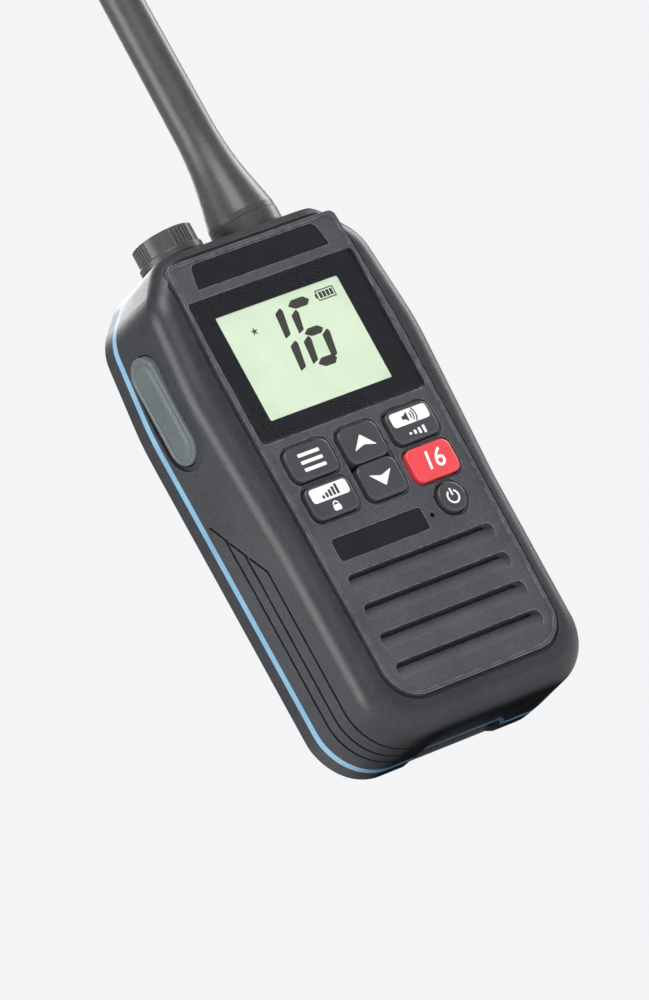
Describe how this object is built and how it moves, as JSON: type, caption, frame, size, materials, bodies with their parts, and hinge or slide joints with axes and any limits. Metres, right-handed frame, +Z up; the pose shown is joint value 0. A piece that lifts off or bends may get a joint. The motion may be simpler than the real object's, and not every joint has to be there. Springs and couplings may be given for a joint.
{
  "type": "handheld marine vhf radio",
  "caption": "Waterproof handheld marine radio with a screen, keypad, louvred speaker, side talk pad, screw-in whip antenna, capped jack, battery pack and belt clip.",
  "frame": {"origin": "centre of the outer box at the bottom, on the plane that the feet stand on", "axes": "+X to the right as the user sees the screen, -Y towards the user, +Z up along the antenna"},
  "size_m": [0.062, 0.0432, 0.24],
  "materials": {
    "case": "moulded black plastic with a fine matt grain",
    "seal": "light blue silicone, satin",
    "panel": "dark grey plastic with a fine spark texture",
    "plate": "plain black gloss",
    "lens": "clear hard-coated window",
    "mask": "black print behind the window",
    "screen": "pale green backlit liquid crystal",
    "light_guide": "milky acrylic",
    "key": "dark grey silicone rubber, satin",
    "key_red": "red silicone rubber, satin",
    "pad": "grey-green silicone rubber, matt",
    "antenna": "dark grey rubber, satin",
    "board": "green solder mask",
    "chip": "black moulded packages",
    "steel": "stainless steel",
    "tin": "tin-plated sheet",
    "cast": "die-cast, as cast",
    "brass": "plated brass",
    "paper": "woven membrane and coated cone",
    "holder": "white moulded plastic",
    "cell": "pouch foil",
    "rubber": "black rubber"
  },
  "bodies": {
    "root": {"front_case": "case", "rear_case": "case", "case_seal": "seal", "front_panel": "panel", "name_plate": "plate", "model_plate": "plate", "screen_lens": "lens", "screen_mask": "mask", "screen_glass": "screen", "screen_light": "light_guide", "screen_holder": "holder", "keypad_mat": "rubber", "key_switches": "steel", "main_board": "board", "board_chips": "chip", "rf_shield": "tin", "chassis": "cast", "board_screws": "steel", "speaker_frame": "tin", "speaker_cone": "paper", "speaker_magnet": "steel", "sound_membrane": "paper", "microphone": "tin", "mic_boot": "rubber", "ptt_switch": "chip", "ptt_board": "board", "antenna_collar": "antenna", "antenna_socket": "brass", "antenna_nut": "brass", "jack_body": "brass", "jack_nut": "brass", "jack_contacts": "brass", "case_contacts": "brass", "contact_block": "chip", "case_screws": "steel", "lanyard_eye": "case"},
    "key_menu": {"key_menu": "key"},
    "key_up": {"key_up": "key"},
    "key_down": {"key_down": "key"},
    "key_volume": {"key_volume": "key"},
    "key_output": {"key_output": "key"},
    "key_channel_16": {"key_channel_16": "key_red"},
    "key_power": {"key_power": "key"},
    "ptt": {"ptt_pad": "pad"},
    "antenna_lift": {"antenna_seal": "rubber"},
    "antenna": {"antenna_mast": "antenna", "antenna_core": "brass"},
    "cap_lift": {"cap_seal": "rubber"},
    "cap": {"jack_cap": "antenna"},
    "battery": {"pack_cover": "case", "pack_lid": "case", "pack_cell": "cell", "pack_board": "board", "pack_contacts": "brass", "charge_contacts": "brass", "clip_base": "case", "clip_screws": "steel", "clip_pin": "steel", "clip_spring": "steel"},
    "clip": {"belt_clip": "case"}
  },
  "joints": [
    {"name": "key_menu_press", "type": "slide", "parent": "root", "child": "key_menu", "axis": [0, 1, 0], "range_m": [0, 0.0006], "stiffness_N_per_m": 900},
    {"name": "key_up_press", "type": "slide", "parent": "root", "child": "key_up", "axis": [0, 1, 0], "range_m": [0, 0.0006], "stiffness_N_per_m": 900},
    {"name": "key_down_press", "type": "slide", "parent": "root", "child": "key_down", "axis": [0, 1, 0], "range_m": [0, 0.0006], "stiffness_N_per_m": 900},
    {"name": "key_volume_press", "type": "slide", "parent": "root", "child": "key_volume", "axis": [0, 1, 0], "range_m": [0, 0.0006], "stiffness_N_per_m": 900},
    {"name": "key_output_press", "type": "slide", "parent": "root", "child": "key_output", "axis": [0, 1, 0], "range_m": [0, 0.0006], "stiffness_N_per_m": 900},
    {"name": "key_channel_16_press", "type": "slide", "parent": "root", "child": "key_channel_16", "axis": [0, 1, 0], "range_m": [0, 0.0006], "stiffness_N_per_m": 900},
    {"name": "key_power_press", "type": "slide", "parent": "root", "child": "key_power", "axis": [0, 1, 0], "range_m": [0, 0.0006], "stiffness_N_per_m": 900},
    {"name": "ptt_press", "type": "slide", "parent": "root", "child": "ptt", "axis": [1, 0, 0], "range_m": [0, 0.0008], "stiffness_N_per_m": 1500},
    {"name": "antenna_rise", "type": "slide", "parent": "root", "child": "antenna_lift", "axis": [0, 0, 1], "range_m": [0, 0.006]},
    {"name": "antenna_turn", "type": "hinge", "parent": "antenna_lift", "child": "antenna", "pos_m": [0.01015, -0.0085, 0.11355], "axis": [0, 0, 1], "range_deg": [0, 2160]},
    {"name": "cap_rise", "type": "slide", "parent": "root", "child": "cap_lift", "axis": [0, 0, 1], "range_m": [0, 0.004]},
    {"name": "cap_turn", "type": "hinge", "parent": "cap_lift", "child": "cap", "pos_m": [-0.01015, -0.0085, 0.1106], "axis": [0, 0, 1], "range_deg": [0, 720]},
    {"name": "battery_off", "type": "slide", "parent": "root", "child": "battery", "axis": [0, 1, 0], "range_m": [0, 0.016]},
    {"name": "clip_swing", "type": "hinge", "parent": "battery", "child": "clip", "pos_m": [0, 0.0186, 0.062], "axis": [1, 0, 0], "range_deg": [0, 22], "stiffness_Nm_per_rad": 0.25, "springref_deg": -11.46, "deforming": ["clip_spring"]}
  ],
  "couplings": [
    {"joint": "antenna_turn", "follows": "antenna_rise", "rad_per_m": 6283.2},
    {"joint": "cap_turn", "follows": "cap_rise", "rad_per_m": 3141.6}
  ]
}
